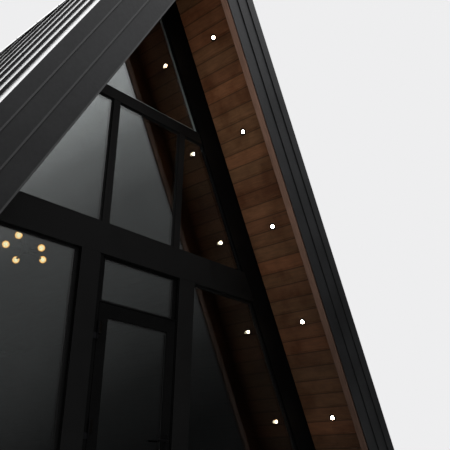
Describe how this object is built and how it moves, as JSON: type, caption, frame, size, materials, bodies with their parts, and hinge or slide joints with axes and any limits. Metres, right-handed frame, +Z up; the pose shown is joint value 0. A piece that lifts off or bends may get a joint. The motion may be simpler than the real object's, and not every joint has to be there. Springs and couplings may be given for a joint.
{
  "type": "a-frame cabin",
  "caption": "Steep A-frame cabin with standing-seam metal roof, dark framed glazed gable, timber soffits with downlights and a glazed entrance door.",
  "frame": {"origin": "centre of the cabin's footprint at ground level", "axes": "+Z up, +X to the right seen from outside the glazed gable, -Y out of the glazed gable"},
  "size_m": [7.1296, 9, 6.93],
  "materials": {
    "concrete": "matte",
    "timber": "satin",
    "trim_timber": "satin",
    "roof_metal": "satin",
    "black_metal": "satin",
    "cladding": "matte",
    "glass": "gloss",
    "lamp_glass": "gloss",
    "steel": "satin"
  },
  "bodies": {
    "cabin": {"foundation": "concrete", "porch_slab": "concrete", "ground_floor": "timber", "loft_floor": "timber", "roof_slab_left": "timber", "roof_slab_right": "timber", "roof_sheet_left": "roof_metal", "roof_sheet_right": "roof_metal", "ridge_cap": "roof_metal", "ridge_closers": "roof_metal", "lining_left": "timber", "lining_right": "timber", "fascia_front_left": "roof_metal", "fascia_front_right": "roof_metal", "fascia_back_left": "roof_metal", "fascia_back_right": "roof_metal", "soffit_front_left": "timber", "soffit_front_right": "timber", "soffit_back_left": "timber", "soffit_back_right": "timber", "soffit_trims": "trim_timber", "downlights_left": "lamp_glass", "downlights_right": "lamp_glass", "casing_front_left": "black_metal", "casing_front_right": "black_metal", "front_beam": "black_metal", "post_left": "black_metal", "post_right": "black_metal", "front_sills": "black_metal", "mullions": "black_metal", "upper_transom": "black_metal", "sashes_lower": "black_metal", "sashes_upper": "black_metal", "panes_lower": "glass", "panes_upper": "glass", "door_frame": "black_metal", "door_transom_pane": "glass", "back_wall": "cladding", "back_casing": "black_metal", "back_frames": "black_metal", "back_panes": "glass", "frame_hinges": "steel", "lamp_arms": "black_metal", "lamp_bulbs": "lamp_glass"},
    "door": {"door_leaf": "black_metal", "door_pane": "glass", "door_handle": "steel", "door_hinges": "steel"}
  },
  "joints": [
    {"name": "door_hinge", "type": "hinge", "parent": "cabin", "child": "door", "pos_m": [-0.4145, -3.744, 0.3], "axis": [0, 0, -1], "range_deg": [0, 100]}
  ]
}
